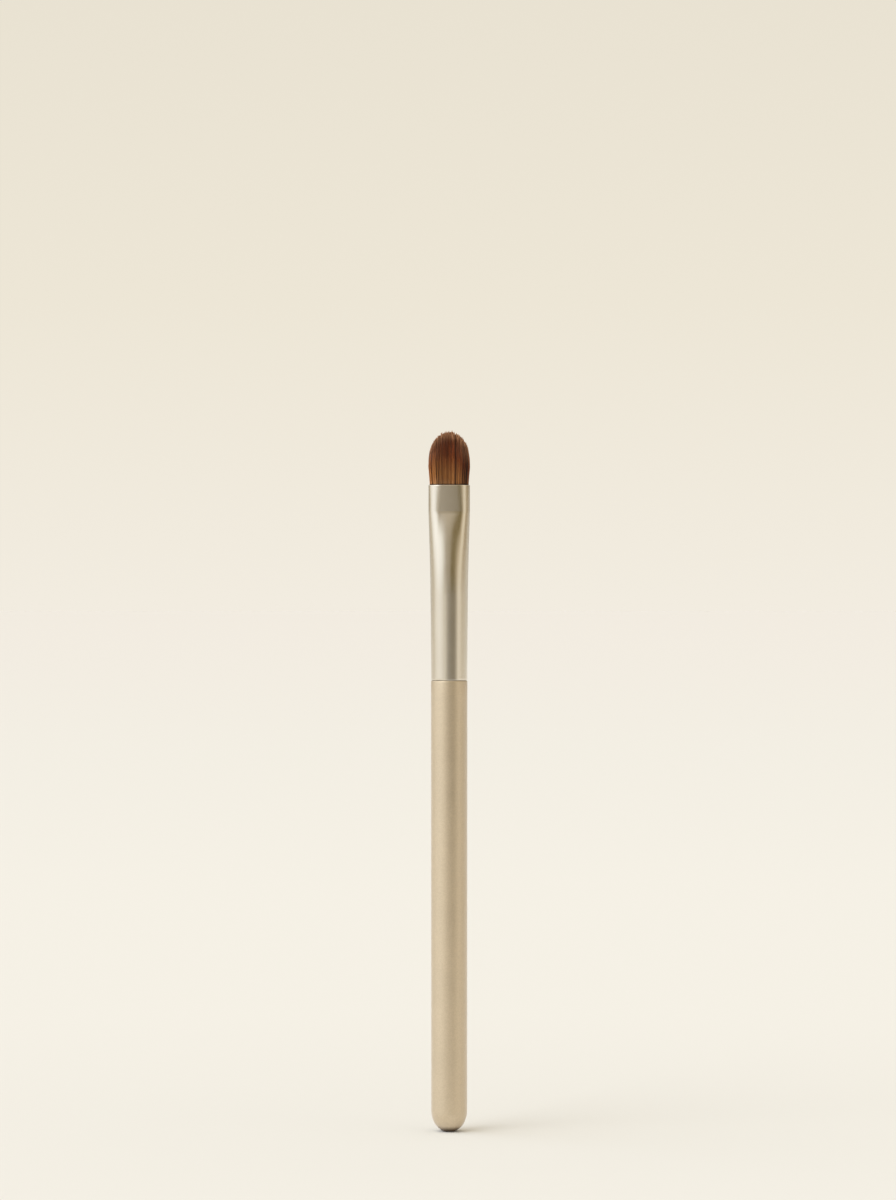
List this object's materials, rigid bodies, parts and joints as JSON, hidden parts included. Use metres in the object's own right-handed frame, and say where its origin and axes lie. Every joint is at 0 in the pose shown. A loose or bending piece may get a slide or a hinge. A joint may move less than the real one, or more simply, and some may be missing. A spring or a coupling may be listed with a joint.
{
  "type": "concealer brush",
  "caption": "Slim make-up brush: domed round handle, metal ferrule pressed flat at its mouth, and a dense dome-topped tuft of brown filaments.",
  "frame": {"origin": "centre of the flat foot that ends the domed butt, on the handle's axis", "axes": "+Z along the brush towards the tuft, X across the wide side of the ferrule's mouth, -Y the pressed face that the picture shows"},
  "size_m": [0.0092, 0.0078, 0.15],
  "materials": {
    "handle_lacquer": "satin champagne metallic lacquer over turned wood",
    "adhesive": "set clear adhesive",
    "ferrule_aluminium": "drawn tube, satin champagne anodised",
    "epoxy": "cast amber epoxy",
    "binding_thread": "waxed cotton thread",
    "filament": "tapered synthetic filaments, chestnut brown"
  },
  "bodies": {
    "root": {"handle": "handle_lacquer", "tenon_adhesive": "adhesive", "ferrule": "ferrule_aluminium", "root_plug": "epoxy", "root_binding": "binding_thread", "bristle_tuft": "filament"}
  },
  "joints": []
}
